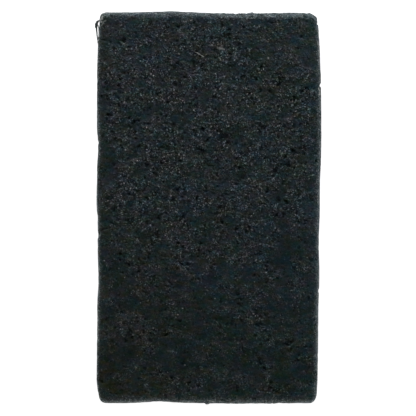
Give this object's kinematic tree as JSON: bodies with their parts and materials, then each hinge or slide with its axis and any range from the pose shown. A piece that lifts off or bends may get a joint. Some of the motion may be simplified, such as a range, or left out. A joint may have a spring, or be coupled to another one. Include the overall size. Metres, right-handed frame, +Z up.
{
  "type": "pressed charcoal block",
  "caption": "Flat rectangular block of pressed charcoal for drawing, with rolled edges and a pitted, porous skin.",
  "frame": {"origin": "centre of the broad face that the block rests on", "axes": "+Z up through the thickness, +Y along the length, +X across the width"},
  "size_m": [0.0508, 0.0888, 0.019],
  "materials": {
    "charcoal": "pressed and porous, dry, with a faint satin skin"
  },
  "bodies": {
    "root": {"charcoal_block": "charcoal"}
  },
  "joints": []
}
